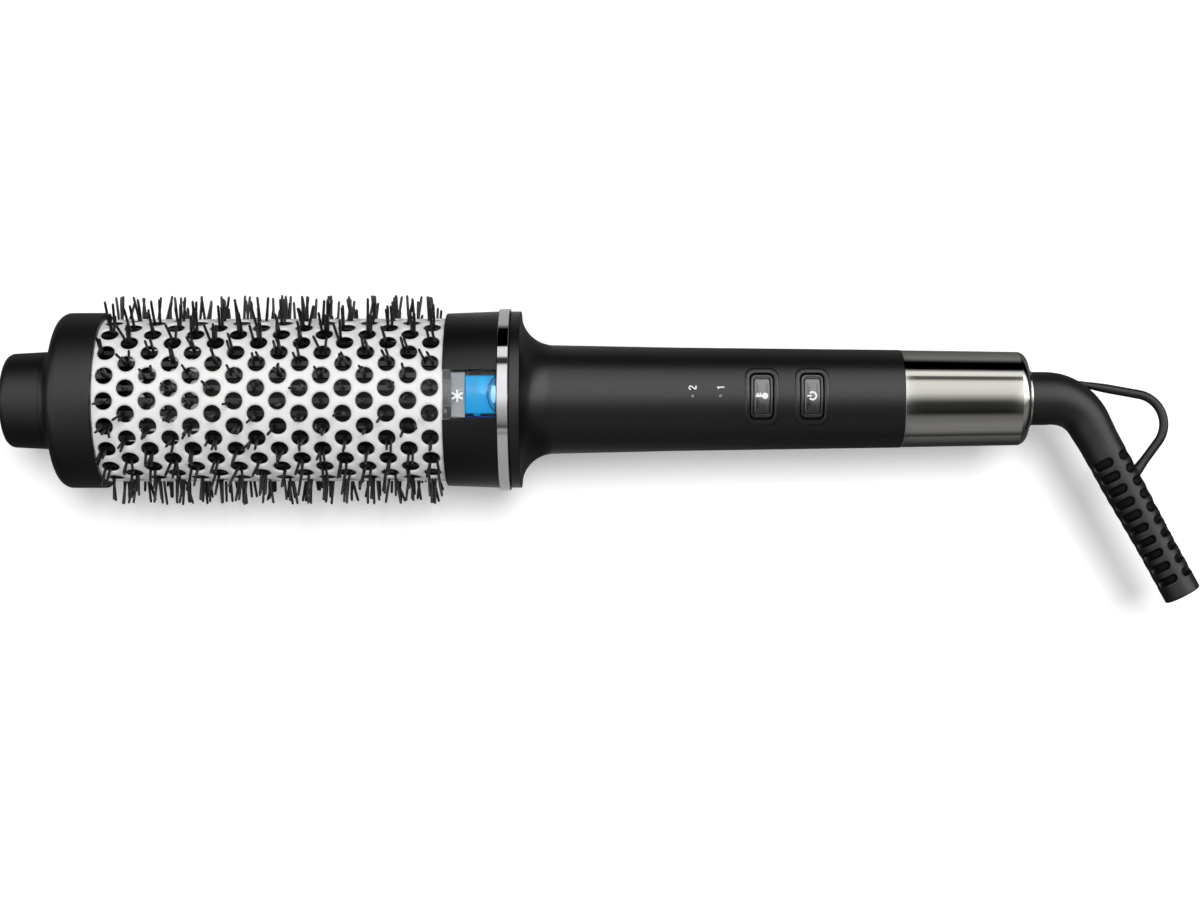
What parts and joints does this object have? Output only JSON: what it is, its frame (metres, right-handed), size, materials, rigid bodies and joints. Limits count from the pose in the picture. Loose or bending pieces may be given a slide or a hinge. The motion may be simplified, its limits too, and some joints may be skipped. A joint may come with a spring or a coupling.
{
  "type": "hot air brush",
  "caption": "Corded hot air round brush: perforated barrel with nylon bristles, slim handle with two keys, chrome trim, rear sleeve and a swivelling bent cord boot with a hanging loop.",
  "frame": {"origin": "middle of the cool tip's end face", "axes": "+X along the brush towards the cord, +Z out of the handle on the side of the keys; the cord boot bends towards -Y"},
  "size_m": [0.3662, 0.0956, 0.0648],
  "materials": {
    "cap_plastic": "heat-proof satin black, fine moulded grain",
    "tip_plastic": "satin black",
    "collar_plastic": "satin black",
    "soft_touch": "soft-touch rubberised black",
    "key_gloss": "satin rim with a glossy top",
    "barrel_coat": "white baked coating on aluminium",
    "nylon": "black nylon",
    "fan_plastic": "moulded black",
    "chrome": "polished",
    "gunmetal": "polished dark nickel",
    "steel": "plain",
    "resistance_wire": "dull alloy wire",
    "mica": "mottled mica sheet",
    "heat_plastic": "heat-proof cream moulding",
    "clear_window": "clear polycarbonate",
    "ion_blue": "glossy blue",
    "silver_plastic": "smoked silver",
    "board": "green solder mask",
    "dark_parts": "black epoxy",
    "led_white": "white",
    "magnet": "sintered ferrite",
    "lamination": "stacked sheet",
    "copper": "enamelled copper",
    "brass": "plain",
    "boot_rubber": "matte moulded rubber",
    "cord_jacket": "smooth cable jacket",
    "wire_jacket": "silicone jacket"
  },
  "bodies": {
    "housing": {"end_cap": "cap_plastic", "cool_tip": "tip_plastic", "collar": "collar_plastic", "handle_top_shell": "soft_touch", "handle_bottom_shell": "soft_touch", "barrel": "barrel_coat", "bristle_strips": "nylon", "front_strip_ring": "nylon", "rear_strip_ring": "nylon", "fan_duct": "fan_plastic", "inlet_grille": "fan_plastic", "swivel_socket": "fan_plastic", "chrome_ring": "chrome", "rear_sleeve": "gunmetal", "tip_screw": "steel", "collar_screws": "steel", "shell_screws": "steel", "board_screws": "steel", "thermostat": "steel", "ion_needle": "steel", "motor_can": "steel", "heater_coil": "resistance_wire", "mica_tube": "mica", "heater_frame": "mica", "heater_base": "heat_plastic", "thermal_fuse": "heat_plastic", "motor_end_bell": "heat_plastic", "contact_block": "heat_plastic", "ion_window": "clear_window", "light_pipes": "clear_window", "ion_emitter_block": "ion_blue", "ion_generator": "ion_blue", "ion_carrier": "silver_plastic", "control_board": "board", "board_components": "dark_parts", "tactile_switches": "dark_parts", "inlet_filter": "dark_parts", "indicator_leds": "led_white", "motor_magnets": "magnet", "carbon_brushes": "magnet", "shaft_bearings": "brass", "contact_fingers": "brass", "wire_harness": "wire_jacket"},
    "rotor": {"motor_shaft": "steel", "armature": "lamination", "rotor_windings": "copper", "commutator": "copper", "impeller": "fan_plastic"},
    "power_key": {"power_button": "key_gloss", "power_plunger": "heat_plastic"},
    "temperature_key": {"temperature_button": "key_gloss", "temperature_plunger": "heat_plastic"},
    "swivel": {"swivel_plug": "heat_plastic", "contact_rings": "brass", "retaining_clip": "steel", "cord_boot": "boot_rubber", "power_cord": "cord_jacket", "cord_conductors": "copper"}
  },
  "joints": [
    {"name": "rotor_spin", "type": "hinge", "parent": "housing", "child": "rotor", "pos_m": [0.18, 0, 0], "axis": [1, 0, 0], "continuous": true},
    {"name": "power_press", "type": "slide", "parent": "housing", "child": "power_key", "axis": [0, 0, -1], "range_m": [0, 0.0005], "stiffness_N_per_m": 50, "springref_m": -0.004},
    {"name": "temperature_press", "type": "slide", "parent": "housing", "child": "temperature_key", "axis": [0, 0, -1], "range_m": [0, 0.0005], "stiffness_N_per_m": 50, "springref_m": -0.004},
    {"name": "cord_swivel", "type": "hinge", "parent": "housing", "child": "swivel", "pos_m": [0.299, 0, 0], "axis": [-1, 0, 0], "continuous": true}
  ]
}
